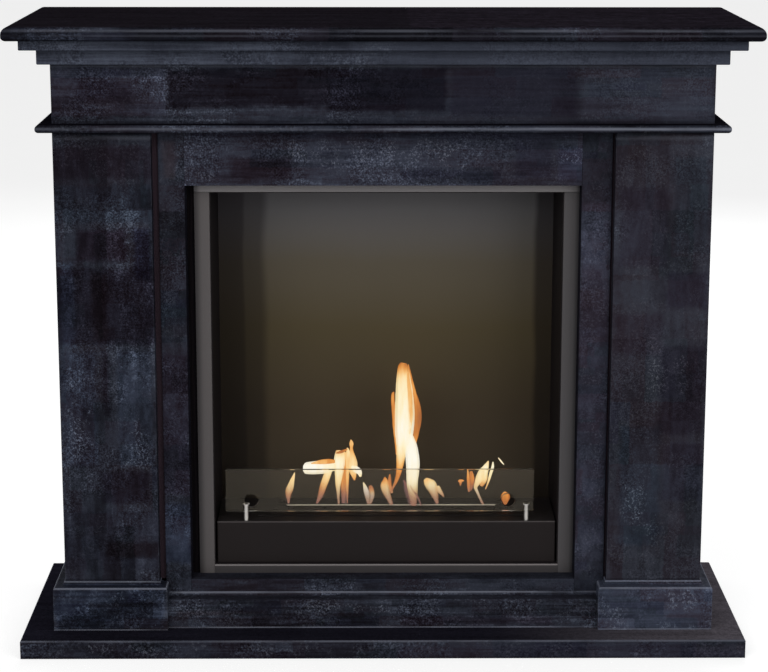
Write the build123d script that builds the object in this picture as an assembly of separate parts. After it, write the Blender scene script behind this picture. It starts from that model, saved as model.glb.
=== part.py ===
from build123d import *
import os

# A free-standing bioethanol fireplace: a mantel of stone boards on a base slab, with a steel
# insert in its opening that holds a burner behind a low glass pane.
# Millimetres. +Z is up, the viewer is at -Y and the wall at +Y. The origin is on the floor, at
# the middle of the width and depth. Depths are counted from the wall towards the viewer.

# Mantel body, without its mouldings
total_height = 1075
body_width = 1095
body_depth = 324
board_thickness = 20
board_round = 1.5
pilaster_width = 162.5
frieze_height = 99

# Shelf and base slab: what they stand out beyond the body at each end and at the front
shelf_end_overhang = 67.5
shelf_front_overhang = 71
shelf_thickness = 23.5
shelf_round_top = 13
shelf_round_bottom = 8
slab_end_overhang = 70.5
slab_front_overhang = 66
slab_thickness = 32.6
slab_round = 3

# Mouldings that run round the body
upper_cornice_thickness = 17
upper_cornice_projection = 44
lower_cornice_thickness = 25.5
lower_cornice_projection = 19
cornice_round = 2
astragal_thickness = 13.3
astragal_projection = 24.5
astragal_round = 6
plinth_projection = 19
plinth_inner_projection = 14.4
plinth_height = 77
centre_plinth_height = 51.5
centre_plinth_projection = 26
nose_radius = 5
cove_radius = 4.5
bead_radius = 2

# Surround between the pilasters
surround_setback = 18
surround_thickness = 35
shadow_gap_left = 9.5
shadow_gap_right = 2.5
shadow_gap_depth = 6
jamb_width_left = 44
jamb_width_right = 51
lintel_height = 93.6
sill_height = 79.5

# Timber inside the mantel
timber_margin = 30
batten_thickness = 30
batten_gap = 3
head_batten_height = 45
insert_shelf_thickness = 18
cleat_width = 20
cleat_height = 30
rail_height = 100

# Front frame of the insert
frame_gap_left = 12.5
frame_gap_right = 0.3
frame_gap_top = 1.5
frame_side_width = 25.8
frame_end_width = 15
frame_thickness = 3
frame_bend = 1.5
frame_leg = 20

# Casing of the insert
casing_sheet = 1.5
firebox_depth = 184

# Burner housing
housing_side_gap = 2.2
housing_setback = 10
housing_depth = 134
housing_height = 74
housing_sheet = 1.5
bend_radius = 2

# Burner: plate with the flame slot, tank and ceramic wool
burner_shift = 9.5
slot_end_distance = 110.1
slot_width = 26
slot_setback = 78.6
collar_wall = 2
collar_height = 12
plate_end = 49.5
plate_width = 94
plate_sheet = 1.5
tank_end = 34.5
tank_width = 74
tank_depth = 58
tank_wall = 1
tank_clearance = 2
tank_corner = 8
wool_clearance = 0.5
wool_drop = 12.5

# Damper that closes the slot, and its guides
damper_overlap = 2.5
damper_end = 20
damper_sheet = 1.5
hook_hole = 8
guide_sheet = 1.2
guide_lip = 4
running_gap = 0.3

# Glass pane and its posts
pane_end_gap = 27.1
pane_height = 76
pane_thickness = 5
pane_corner = 4
pane_polish = 0.6
pane_shift = -11.6
pane_lift = 16.5
finger_hole = 24
finger_hole_inset = 44.5
finger_hole_rise = 19.5
post_end_distance = 51
post_diameter = 9
post_height = 30.5
post_setback = 8
post_collar = 13
post_collar_height = 2
post_slot_gap = 0.2
post_shank = 5
post_nut_width = 8
post_nut_height = 4
shank_length = 9

# Heights and depths that follow
wall_y = (body_depth + max(shelf_front_overhang, slab_front_overhang)) / 2
slab_top = slab_thickness
shelf_bottom = total_height - shelf_thickness
upper_cornice_bottom = shelf_bottom - upper_cornice_thickness
frieze_top = upper_cornice_bottom - lower_cornice_thickness
frieze_bottom = frieze_top - frieze_height
astragal_bottom = frieze_bottom - astragal_thickness
body_half = body_width / 2
body_inside = body_half - board_thickness
pilaster_inner = body_half - pilaster_width
board_back = body_depth - board_thickness
surround_depth = body_depth - surround_setback
surround_back = surround_depth - surround_thickness
surround_left = -pilaster_inner + shadow_gap_left
surround_right = pilaster_inner - shadow_gap_right
opening_left = surround_left + jamb_width_left
opening_right = surround_right - jamb_width_right
opening_top = astragal_bottom - lintel_height
sill_top = slab_top + sill_height
touch = 0.01

pieces = {}


def block(x_from, x_to, depth_from, depth_to, z_from, z_to):
    """A box between two sides, two depths from the wall and two heights."""
    centre = ((x_from + x_to) / 2, wall_y - (depth_from + depth_to) / 2, (z_from + z_to) / 2)
    return Pos(*centre) * Box(x_to - x_from, depth_to - depth_from, z_to - z_from)


def plan_prism(points, z_from, z_to):
    """A prism on an outline given as (x, depth from the wall) points."""
    outline = Polyline(*[(x, wall_y - depth) for x, depth in points], close=True)
    return Pos(0, 0, z_from) * extrude(make_face(outline), z_to - z_from, dir=(0, 0, 1))


def level_edges(shape, height):
    """The edges at one height that a viewer can reach: all but those against the wall."""
    return shape.edges().filter_by(
        lambda edge: abs(edge.center().Z - height) < touch and edge.center().Y < wall_y - touch
    )


def upright_edges(shape, depth):
    """The upright edges at one depth from the wall."""
    uprights = shape.edges().filter_by(Axis.Z)
    return uprights.filter_by(lambda edge: abs(edge.center().Y - wall_y + depth) < touch)


def add_pair(name, right_piece):
    """A right-hand piece and its mirror image on the left."""
    pieces[name + "_right"] = right_piece
    pieces[name + "_left"] = mirror(right_piece, about=Plane.YZ)


def add_mitred_ring(name, projection, z_from, z_to, radius, inner_depth):
    """A moulding round the front and sides, cut into three lengths at its mitred corners."""
    half = body_half + projection
    front = body_depth + projection
    ring = block(-half, half, 0, front, z_from, z_to)
    ring = fillet(level_edges(ring, z_to) + level_edges(ring, z_from), radius)
    ring -= block(-body_inside, body_inside, 0, inner_depth, z_from, z_to)
    side_zone = plan_prism(
        [(body_inside, 0), (body_inside, board_back), (half, front), (half, 0)], z_from, z_to
    )
    add_pair(name + "_return", ring & side_zone)
    pieces[name + "_front"] = ring - side_zone - mirror(side_zone, about=Plane.YZ)


def moulded_run(nose, inwards, width, nose_height):
    """An endless plinth board: a rounded nose, a flat, a cove, and a bead against the face."""
    flat_end = width - cove_radius - bead_radius
    cove_top = nose_height + cove_radius
    top = cove_top + bead_radius
    reach = width + body_width
    outline = [
        Line((0, 0), (0, nose_height - nose_radius)),
        CenterArc((nose_radius, nose_height - nose_radius), nose_radius, 90, 90),
        Line((nose_radius, nose_height), (flat_end, nose_height)),
        CenterArc((flat_end, cove_top), cove_radius, 270, 90),
        CenterArc((width, cove_top), bead_radius, 90, 90),
        Polyline((width, top), (reach, top), (reach, 0), (0, 0)),
    ]
    along = Vector(*inwards).cross(Vector(0, 0, 1))
    section = Plane(origin=nose, x_dir=inwards, z_dir=along) * make_face(outline)
    return extrude(section, body_width, both=True)


def add_base_slab():
    half = body_half + slab_end_overhang
    slab = block(-half, half, 0, body_depth + slab_front_overhang, 0, slab_thickness)
    pieces["base_slab"] = fillet(level_edges(slab, slab_thickness), slab_round)


def add_shelf():
    half = body_half + shelf_end_overhang
    front = body_depth + shelf_front_overhang
    shelf = block(-half, half, 0, front, shelf_bottom, total_height)
    shelf = fillet(level_edges(shelf, total_height), shelf_round_top)
    pieces["mantel_shelf"] = fillet(level_edges(shelf, shelf_bottom), shelf_round_bottom)


def add_body_boards():
    """Pilasters and frieze at the front, with the end boards and the hidden cheeks behind."""
    pilaster = block(pilaster_inner, body_half, board_back, body_depth, slab_top, astragal_bottom)
    add_pair("pilaster", fillet(upright_edges(pilaster, body_depth), board_round))
    end = block(body_inside, body_half, 0, board_back, slab_top, astragal_bottom)
    add_pair("side_panel", end)
    cheek_outer = pilaster_inner + board_thickness
    cheek = block(pilaster_inner, cheek_outer, timber_rear, board_back, slab_top, astragal_bottom)
    add_pair("pilaster_cheek", cheek)
    frieze = block(-body_half, body_half, board_back, body_depth, frieze_bottom, frieze_top)
    pieces["frieze_board"] = fillet(upright_edges(frieze, body_depth), board_round)
    frieze_end = block(body_inside, body_half, 0, board_back, frieze_bottom, frieze_top)
    add_pair("frieze_side", frieze_end)
    rail_bottom = shelf_bottom - rail_height
    pieces["back_rail"] = block(
        -body_inside, body_inside, 0, board_thickness, rail_bottom, shelf_bottom
    )


def add_mouldings():
    """Two cornice steps under the shelf, and the astragal between frieze and pilasters."""
    add_mitred_ring(
        "upper_cornice", upper_cornice_projection, upper_cornice_bottom, shelf_bottom,
        cornice_round, board_back,
    )
    add_mitred_ring(
        "lower_cornice", lower_cornice_projection, frieze_top, upper_cornice_bottom,
        cornice_round, board_back,
    )
    add_mitred_ring(
        "astragal", astragal_projection, astragal_bottom, frieze_bottom,
        astragal_round, surround_back,
    )


def add_plinths():
    """Plinth blocks that wrap the pilaster feet, skirtings on the ends, and the lower centre."""
    front_nose = (0, wall_y - body_depth - plinth_projection, slab_top)
    outer_nose = (body_half + plinth_projection, 0, slab_top)
    inner_x = pilaster_inner - plinth_inner_projection
    wrapped = moulded_run(front_nose, (0, 1, 0), plinth_projection, plinth_height)
    wrapped &= moulded_run(outer_nose, (-1, 0, 0), plinth_projection, plinth_height)
    wrapped &= moulded_run(
        (inner_x, 0, slab_top), (1, 0, 0), plinth_inner_projection, plinth_height
    )
    top = slab_top + plinth_height + cove_radius + bead_radius
    wrapped &= block(inner_x, outer_nose[0], 0, wall_y - front_nose[1], slab_top, top)
    wrapped -= block(pilaster_inner, body_half, 0, body_depth, slab_top, top)
    wrapped -= block(inner_x, pilaster_inner, 0, surround_depth, slab_top, top)
    mitre = [
        (body_half, 0),
        (body_half, body_depth),
        (body_half + plinth_projection, body_depth + plinth_projection),
        (body_half + plinth_projection, 0),
    ]
    side_zone = plan_prism(mitre, slab_top, top)
    add_pair("side_skirting", wrapped & side_zone)
    add_pair("pilaster_plinth", wrapped - side_zone)
    centre_depth = surround_depth + centre_plinth_projection
    centre = moulded_run(
        (0, wall_y - centre_depth, slab_top), (0, 1, 0),
        centre_plinth_projection, centre_plinth_height,
    )
    pieces["centre_plinth"] = centre & block(
        -inner_x, inner_x, surround_depth, centre_depth, slab_top, top
    )


def add_surround():
    """Lintel, jambs and sill round the opening, set back from the pilasters."""
    depths = (surround_back, surround_depth)
    left = block(surround_left, opening_left, *depths, slab_top, astragal_bottom)
    right = block(opening_right, surround_right, *depths, slab_top, astragal_bottom)
    pieces["jamb_left"] = fillet(upright_edges(left, surround_depth), board_round)
    pieces["jamb_right"] = fillet(upright_edges(right, surround_depth), board_round)
    pieces["lintel"] = block(opening_left, opening_right, *depths, opening_top, astragal_bottom)
    pieces["sill"] = block(opening_left, opening_right, *depths, slab_top, sill_top)


def add_insert_shelf():
    """The shelf that the insert stands on, and the cleats that carry it."""
    shelf_underside = sill_top - insert_shelf_thickness
    pieces["insert_shelf"] = block(
        -pilaster_inner, pilaster_inner, timber_rear, surround_back, shelf_underside, sill_top
    )
    cleat = block(
        pilaster_inner - cleat_width, pilaster_inner, timber_rear, surround_back,
        shelf_underside - cleat_height, shelf_underside,
    )
    add_pair("shelf_cleat", cleat)


def add_battens():
    """Battens behind the jambs and the lintel, which the insert's frame seats against.

    Each jamb batten has a tongue that comes forward to close the shadow gap at the pilaster.
    """
    reach = frame_inner + frame_thickness + batten_gap
    left, right = insert_x - reach, insert_x + reach
    depths = (surround_back - batten_thickness, surround_back)
    heights = (sill_top, astragal_bottom)
    tongue = (surround_back, surround_depth - shadow_gap_depth)
    left_batten = block(-pilaster_inner, left, *depths, *heights)
    left_batten += block(-pilaster_inner, surround_left, *tongue, *heights)
    pieces["jamb_batten_left"] = left_batten
    right_batten = block(right, pilaster_inner, *depths, *heights)
    right_batten += block(surround_right, pilaster_inner, *tongue, *heights)
    pieces["jamb_batten_right"] = right_batten
    head_bottom = mouth_top + frame_thickness + batten_gap
    head_top = head_bottom + head_batten_height
    pieces["head_batten"] = block(left, right, *depths, head_bottom, head_top)


# Places of the insert, from the opening that it stands in
frame_left = opening_left + frame_gap_left
frame_right = opening_right - frame_gap_right
insert_x = (frame_left + frame_right) / 2
frame_half = (frame_right - frame_left) / 2
frame_inner = frame_half - frame_side_width
frame_top = opening_top - frame_gap_top
mouth_top = frame_top - frame_end_width
mouth_bottom = sill_top + frame_end_width
frame_back = surround_back
frame_front = surround_back + frame_thickness
floor_top = mouth_bottom + casing_sheet
firebox_rear = frame_front - firebox_depth
timber_rear = firebox_rear - timber_margin


def add_frame():
    """Four angle bars, folded along the mouth: a face towards the viewer and a leg going back."""
    face = (frame_back, frame_front)
    leg = (frame_front - frame_leg, frame_back)
    inner, outer = insert_x + frame_inner, insert_x + frame_half
    right = block(inner, outer, *face, sill_top, mouth_top)
    right += block(inner, inner + frame_thickness, *leg, mouth_bottom, mouth_top)
    right = fillet(upright_edges(right, frame_front).sort_by(Axis.X)[0], frame_bend)
    pieces["frame_right"] = right
    about_insert = Plane(origin=(insert_x, 0, 0), z_dir=(1, 0, 0))
    pieces["frame_left"] = mirror(right, about=about_insert)
    left_outer, left_inner = insert_x - frame_half, insert_x - frame_inner
    top = block(left_outer, outer, *face, mouth_top, frame_top)
    top += block(left_inner, inner, *leg, mouth_top, mouth_top + frame_thickness)
    pieces["frame_top"] = fillet(level_edges(top, mouth_top).sort_by(Axis.Y)[0], frame_bend)
    bottom = block(left_inner, inner, *face, sill_top, mouth_bottom)
    bottom += block(left_inner, inner, *leg, mouth_bottom - frame_thickness, mouth_bottom)
    pieces["frame_bottom"] = fillet(level_edges(bottom, mouth_bottom).sort_by(Axis.Y)[0], frame_bend)


def add_casing():
    """Sheet panels of the firebox. The floor turns down at the rear to stand on its shelf."""
    left, right = insert_x - frame_inner, insert_x + frame_inner
    roof_bottom = mouth_top - casing_sheet
    depths = (firebox_rear, frame_back)
    foot = (firebox_rear, firebox_rear + casing_sheet)
    back = (firebox_rear - casing_sheet, firebox_rear)
    pieces["casing_back"] = block(left, right, *back, mouth_bottom, mouth_top)
    floor = block(left, right, *depths, mouth_bottom, floor_top)
    pieces["casing_floor"] = floor + block(left, right, *foot, sill_top, mouth_bottom)
    pieces["casing_roof"] = block(left, right, *depths, roof_bottom, mouth_top)
    pieces["casing_left"] = block(left, left + casing_sheet, *depths, floor_top, roof_bottom)
    pieces["casing_right"] = block(right - casing_sheet, right, *depths, floor_top, roof_bottom)


# Places of the burner and the pane, from the housing that carries them
housing_half = frame_inner - casing_sheet - housing_side_gap
housing_front = frame_front - housing_setback
housing_rear = housing_front - housing_depth
housing_top = floor_top + housing_height
slot_depth = housing_front - slot_setback
slot_length = 2 * (housing_half - slot_end_distance)
tank_length = slot_length + 2 * tank_end
burner_x = insert_x + burner_shift
plate_top = housing_top + plate_sheet
post_depth = housing_front - post_setback
post_spread = housing_half - post_end_distance
pane_bottom = housing_top + pane_lift
pane_width = 2 * (housing_half - pane_end_gap)
pane_x = insert_x + pane_shift


def add_housing():
    """A folded cover, open below, with the cut-out for the tank and holes for the posts."""
    housing = block(
        insert_x - housing_half, insert_x + housing_half,
        housing_rear, housing_front, floor_top, housing_top,
    )
    outer_edges = housing.edges().filter_by(Axis.Z) + level_edges(housing, housing_top)
    housing = fillet(outer_edges, bend_radius)
    housing -= block(
        insert_x - housing_half + housing_sheet, insert_x + housing_half - housing_sheet,
        housing_rear + housing_sheet, housing_front - housing_sheet,
        floor_top, housing_top - housing_sheet,
    )
    cut_out = RectangleRounded(
        tank_length + 2 * tank_clearance, tank_width + 2 * tank_clearance, tank_corner
    )
    place = Pos(burner_x, wall_y - slot_depth, housing_top - housing_sheet)
    housing -= place * extrude(cut_out, housing_sheet)
    for side in (-1, 1):
        place = Pos(insert_x + side * post_spread, wall_y - post_depth, housing_top)
        housing -= place * Cylinder(post_shank / 2, 3 * housing_sheet)
    pieces["burner_housing"] = housing


def add_burner():
    """Plate with the flame slot and its bright collar, over a tank full of ceramic wool."""
    slot_centre = (burner_x, wall_y - slot_depth)
    slot = Rectangle(slot_length, slot_width)
    collar_hole = Rectangle(slot_length + 2 * collar_wall, slot_width + 2 * collar_wall)
    plate_outline = Rectangle(slot_length + 2 * plate_end, plate_width)
    plate = extrude(plate_outline - collar_hole, plate_sheet)
    pieces["burner_plate"] = Pos(*slot_centre, housing_top) * plate
    collar = extrude(collar_hole - slot, collar_height)
    pieces["slot_collar"] = Pos(*slot_centre, plate_top - collar_height) * collar
    tank = extrude(RectangleRounded(tank_length, tank_width, tank_corner), tank_depth)
    tank_inside = RectangleRounded(
        tank_length - 2 * tank_wall, tank_width - 2 * tank_wall, tank_corner - tank_wall
    )
    tank -= Pos(0, 0, tank_wall) * extrude(tank_inside, tank_depth - tank_wall)
    pieces["burner_tank"] = Pos(*slot_centre, housing_top - tank_depth) * tank
    wool_outline = offset(tank_inside, -wool_clearance)
    wool = extrude(wool_outline, tank_depth - tank_wall - wool_drop)
    pieces["ceramic_wool"] = Pos(*slot_centre, housing_top - tank_depth + tank_wall) * wool


def add_damper():
    """A plate that lies open behind the slot and runs forward over it in two folded guides."""
    length = slot_length + 2 * damper_end
    width = slot_width + 2 * damper_overlap
    front = slot_depth - slot_width / 2
    rear = front - width
    hole = Cylinder(hook_hole / 2, 3 * damper_sheet)
    damper = Pos(burner_x, wall_y - (front + rear) / 2, plate_top + damper_sheet / 2) * Box(
        length, width, damper_sheet
    )
    for side in (-1, 1):
        hole_x = burner_x + side * (slot_length + damper_end - guide_lip) / 2
        damper -= Pos(hole_x, wall_y - (front + rear) / 2, plate_top) * hole
    pieces["damper"] = damper
    closed_front = slot_depth + slot_width / 2 + damper_overlap
    wall_from = burner_x + length / 2 + running_gap
    lip_bottom = plate_top + damper_sheet + running_gap
    guide = block(
        wall_from, wall_from + guide_sheet, rear, closed_front,
        plate_top, lip_bottom + guide_sheet,
    )
    guide += block(
        wall_from - running_gap - guide_lip, wall_from, rear, closed_front,
        lip_bottom, lip_bottom + guide_sheet,
    )
    about_burner = Plane(origin=(burner_x, 0, 0), z_dir=(1, 0, 0))
    pieces["damper_guide_right"] = guide
    pieces["damper_guide_left"] = mirror(guide, about=about_burner)


def add_glass():
    """The pane drops into two slotted studs. Each has a collar, a shank and a nut below."""
    outline = RectangleRounded(pane_width, pane_height, pane_corner)
    for side in (-1, 1):
        hole_x = side * (pane_width / 2 - finger_hole_inset)
        outline -= Pos(hole_x, finger_hole_rise - pane_height / 2) * Circle(finger_hole / 2)
    pane = extrude(Plane.XZ * outline, pane_thickness / 2, both=True)
    faces = pane.faces().filter_by(Axis.Y)
    pane = chamfer(faces.edges(), pane_polish)
    pieces["glass_pane"] = Pos(pane_x, wall_y - post_depth, pane_bottom + pane_height / 2) * pane

    grounded = (Align.CENTER, Align.CENTER, Align.MIN)
    hanging = (Align.CENTER, Align.CENTER, Align.MAX)
    post = Cylinder(post_diameter / 2, post_height, align=grounded)
    collar = Cylinder(post_collar / 2, post_collar_height, align=hanging)
    post += Pos(0, 0, post_height) * collar
    slot = Box(2 * post_collar, pane_thickness + 2 * post_slot_gap, post_height, align=grounded)
    post -= Pos(0, 0, pane_lift) * slot
    post += Cylinder(post_shank / 2, shank_length, align=hanging)
    nut = extrude(RegularPolygon(post_nut_width / 2, 6, major_radius=False), -post_nut_height)
    nut -= Cylinder(post_shank / 2, 3 * post_nut_height)
    nuts = []
    for side, name in ((-1, "left"), (1, "right")):
        place = Pos(insert_x + side * post_spread, wall_y - post_depth, housing_top)
        pieces["glass_post_" + name] = place * post
        nuts.append(place * Pos(0, 0, -housing_sheet) * nut)
    pieces["post_nuts"] = Compound(children=nuts)


add_base_slab()
add_shelf()
add_body_boards()
add_mouldings()
add_plinths()
add_surround()
add_insert_shelf()
add_battens()
add_frame()
add_casing()
add_housing()
add_burner()
add_damper()
add_glass()

os.makedirs("parts", exist_ok=True)
for name, shape in pieces.items():
    export_step(shape, f"parts/{name}.step")
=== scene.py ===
import math

import bmesh
import bpy
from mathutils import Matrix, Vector, noise


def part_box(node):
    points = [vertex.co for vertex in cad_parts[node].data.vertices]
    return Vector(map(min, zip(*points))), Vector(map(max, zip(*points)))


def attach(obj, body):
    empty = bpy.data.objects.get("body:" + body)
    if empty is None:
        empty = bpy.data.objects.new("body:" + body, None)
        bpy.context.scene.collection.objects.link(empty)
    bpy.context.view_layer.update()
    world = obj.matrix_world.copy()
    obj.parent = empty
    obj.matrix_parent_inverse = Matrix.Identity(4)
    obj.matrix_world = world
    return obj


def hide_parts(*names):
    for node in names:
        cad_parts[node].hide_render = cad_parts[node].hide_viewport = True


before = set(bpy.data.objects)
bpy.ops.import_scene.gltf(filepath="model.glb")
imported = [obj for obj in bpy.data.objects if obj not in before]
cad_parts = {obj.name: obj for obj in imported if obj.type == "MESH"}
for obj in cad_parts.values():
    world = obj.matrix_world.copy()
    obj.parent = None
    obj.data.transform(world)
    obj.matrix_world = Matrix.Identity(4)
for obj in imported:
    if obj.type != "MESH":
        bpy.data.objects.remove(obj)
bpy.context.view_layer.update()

# ----------------------------------------------------------------------------
# Base slab: the stone plate that the whole fireplace stands on. Its top and its front edge
# are honed, then rubbed by hand with dark pigment in overlapping strokes, and waxed.


def srgb(red, green, blue):
    """A colour as given on a screen, as the linear colour that a shader takes."""
    parts = [value / 255 for value in (red, green, blue)]
    parts = [part / 12.92 if part < 0.04 else ((part + 0.055) / 1.055) ** 2.4 for part in parts]
    return [*parts, 1]


def feed(tree, node, feeds):
    """Fills a node's inputs, with plain values or with the sockets that drive them."""
    for key, value in feeds.items():
        if isinstance(value, bpy.types.NodeSocket):
            tree.links.new(value, node.inputs[key])
        else:
            node.inputs[key].default_value = value


def add(tree, kind, feeds=None, **settings):
    made = tree.nodes.new(kind)
    for name, value in settings.items():
        setattr(made, name, value)
    feed(tree, made, feeds or {})
    return made


def calc(tree, operation, first, second=0.0, third=0.0, clamp=False):
    feeds = {0: first, 1: second, 2: third}
    return add(tree, "ShaderNodeMath", feeds, operation=operation, use_clamp=clamp).outputs[0]


def times(tree, first, second, clamp=False):
    return calc(tree, "MULTIPLY", first, second, clamp=clamp)


def scaled(tree, value, factor, rest=0.0, clamp=False):
    """Value times factor, plus the rest."""
    return calc(tree, "MULTIPLY_ADD", value, factor, rest, clamp)


def vector_calc(tree, operation, first, second=(0, 0, 0), third=(0, 0, 0)):
    feeds = {0: first, 1: second, 2: third}
    return add(tree, "ShaderNodeVectorMath", feeds, operation=operation).outputs["Vector"]


def split(tree, vector):
    return add(tree, "ShaderNodeSeparateXYZ", {0: vector}).outputs


def join(tree, x=0.0, y=0.0, z=0.0):
    return add(tree, "ShaderNodeCombineXYZ", {0: x, 1: y, 2: z}).outputs[0]


def object_spot(tree):
    return add(tree, "ShaderNodeTexCoord").outputs["Object"]


def face_direction(tree):
    return split(tree, add(tree, "ShaderNodeNewGeometry").outputs["Normal"])


def blend_colours(tree, amount, first, second, way="MIX"):
    feeds = {0: amount, 6: first, 7: second}
    return add(tree, "ShaderNodeMix", feeds, data_type="RGBA", blend_type=way).outputs[2]


def colour_scale(tree, amount, stops):
    """The colour at an amount; stops is {place: colour}, with one at 0 and one at 1."""
    made = add(tree, "ShaderNodeValToRGB", {0: amount})
    elements = made.color_ramp.elements
    elements[0].color, elements[1].color = stops.pop(0), stops.pop(1)
    for place, colour in stops.items():
        elements.new(place).color = colour
    return made.outputs["Color"]


def fade(tree, value, start, end):
    """Goes smoothly from 0 at start to 1 at end."""
    feeds = {"Value": value, "From Min": start, "From Max": end}
    made = add(tree, "ShaderNodeMapRange", feeds, interpolation_type="SMOOTHSTEP")
    return made.outputs["Result"]


def cloud(tree, where, scale, detail=3.0, roughness=0.55, gives="Fac"):
    """Soft noise; three numbers as its scale stretch it along the axes."""
    if isinstance(scale, tuple):
        where, scale = vector_calc(tree, "MULTIPLY", where, scale), 1.0
    feeds = {"Vector": where, "Scale": scale, "Detail": detail, "Roughness": roughness}
    return add(tree, "ShaderNodeTexNoise", feeds).outputs[gives]


def shader_group(name, takes, gives):
    """An empty node group with named inputs (kind, value) and outputs (kind)."""
    tree = bpy.data.node_groups.new(name, "ShaderNodeTree")
    for label, (kind, value) in takes.items():
        socket = tree.interface.new_socket(label, in_out="INPUT", socket_type="NodeSocket" + kind)
        socket.default_value = value
    for label, kind in gives.items():
        tree.interface.new_socket(label, in_out="OUTPUT", socket_type="NodeSocket" + kind)
    return tree, tree.nodes.new("NodeGroupInput").outputs, tree.nodes.new("NodeGroupOutput")


def place_group(tree, name, feeds):
    group = bpy.data.node_groups[name]
    return add(tree, "ShaderNodeGroup", feeds, node_tree=group).outputs


# Edge wear and highlight: how near a spot is to a board's edge, with left and right alike.
# The light line it gives is partly wear and partly painted highlight.
tree, given, out = shader_group(
    "edge_wear_and_highlight",
    {
        "Low": ("Vector", (0, 0, 0)),
        "High": ("Vector", (1, 1, 1)),
        "Width": ("Float", 0.003),
        "Broken": ("Float", 0.5),
    },
    {"Mask": "Float"},
)
spot = object_spot(tree)
part = split(tree, spot)
mirrored = join(tree, calc(tree, "ABSOLUTE", part[0]), part[1], part[2])
reach = vector_calc(
    tree,
    "MINIMUM",
    vector_calc(tree, "SUBTRACT", mirrored, given["Low"]),
    vector_calc(tree, "SUBTRACT", given["High"], mirrored),
)
gap = split(tree, reach)
nearer = calc(tree, "MINIMUM", gap[0], gap[1])
farther = calc(tree, "MINIMUM", calc(tree, "MAXIMUM", gap[0], gap[1]), gap[2])
to_edge = calc(tree, "MAXIMUM", nearer, farther)
uneven = times(tree, cloud(tree, spot, 70), given["Width"])
line = fade(tree, calc(tree, "ADD", to_edge, uneven), given["Width"], 0.0)
rubbed = fade(tree, cloud(tree, spot, 16, 4), given["Broken"], 0.72)
feed(tree, out, {"Mask": times(tree, line, rubbed, clamp=True)})

# Stroke: one patch laid on with a brush, a soft-edged box; its spot comes in already shaken.
tree, given, out = shader_group(
    "stroke",
    {
        "Spot": ("Vector", (0, 0, 0)),
        "Centre": ("Vector", (0, 0, 0)),
        "Half size": ("Vector", (0.1, 1, 0.1)),
        "Soft": ("Float", 0.01),
    },
    {"Mask": "Float"},
)
away = vector_calc(tree, "SUBTRACT", given["Spot"], given["Centre"])
away = vector_calc(tree, "ABSOLUTE", away)
depth = split(tree, vector_calc(tree, "SUBTRACT", given["Half size"], away))
least = calc(tree, "MINIMUM", calc(tree, "MINIMUM", depth[0], depth[1]), depth[2])
feed(tree, out, {"Mask": fade(tree, least, 0.0, given["Soft"])})

# Laid patches: blocks of one tone each, in courses that are pushed along at random.
tree, given, out = shader_group(
    "laid_patches",
    {
        "Spot": ("Vector", (0, 0, 0)),
        "Size": ("Vector", (0.1, 0.1, 0.1)),
        "Course": ("Float", 0.0),
    },
    {"Tone": "Float", "Hue": "Float"},
)
cell = split(tree, vector_calc(tree, "DIVIDE", given["Spot"], given["Size"]))
course = calc(tree, "FLOOR", calc(tree, "ADD", cell[2], given["Course"]))
pushed = add(tree, "ShaderNodeTexWhiteNoise", {"W": course}, noise_dimensions="1D")
pushed = pushed.outputs["Value"]
columns = [calc(tree, "FLOOR", calc(tree, "ADD", cell[axis], pushed)) for axis in (0, 1)]
chance = {"Vector": join(tree, *columns, course)}
chance = add(tree, "ShaderNodeTexWhiteNoise", chance, noise_dimensions="3D").outputs["Color"]
chance = add(tree, "ShaderNodeSeparateColor", {0: chance}).outputs
feed(tree, out, {"Tone": chance[0], "Hue": chance[1]})

# Slate finish: near-black pigment over slate-blue stone, in blocky patches and brush strokes.
tree, given, out = shader_group(
    "slate_finish",
    {
        "Patch": ("Vector", (0.09, 0.09, 0.13)),
        "Brush": ("Vector", (1, 1, 1)),
        "Contrast": ("Float", 1.0),
        "Lift": ("Float", 0.0),
        "Scuffs": ("Float", 0.5),
        "Patchy": ("Float", 1.0),
    },
    {"Colour": "Color", "Roughness": "Float", "Height": "Float"},
)
spot = object_spot(tree)
ragged = cloud(tree, spot, 130, 4, 0.7, "Color")
ragged = vector_calc(tree, "MULTIPLY_ADD", ragged, (0.012, 0.012, 0.012), spot)
wide = place_group(tree, "laid_patches", {"Spot": ragged, "Size": given["Patch"], "Course": 3.0})
smaller = vector_calc(tree, "MULTIPLY", given["Patch"], (0.43, 0.43, 0.37))
narrow = place_group(tree, "laid_patches", {"Spot": ragged, "Size": smaller})
streaks = cloud(tree, vector_calc(tree, "MULTIPLY", spot, given["Brush"]), 1.0, 5, 0.65)
streaks = fade(tree, streaks, 0.3, 0.7)
drift = fade(tree, cloud(tree, spot, 6, 3), 0.35, 0.65)
mottle = fade(tree, cloud(tree, spot, 120, 4, 0.65), 0.3, 0.7)
speckle = fade(tree, cloud(tree, spot, 340, 2, 0.6), 0.34, 0.66)
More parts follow.
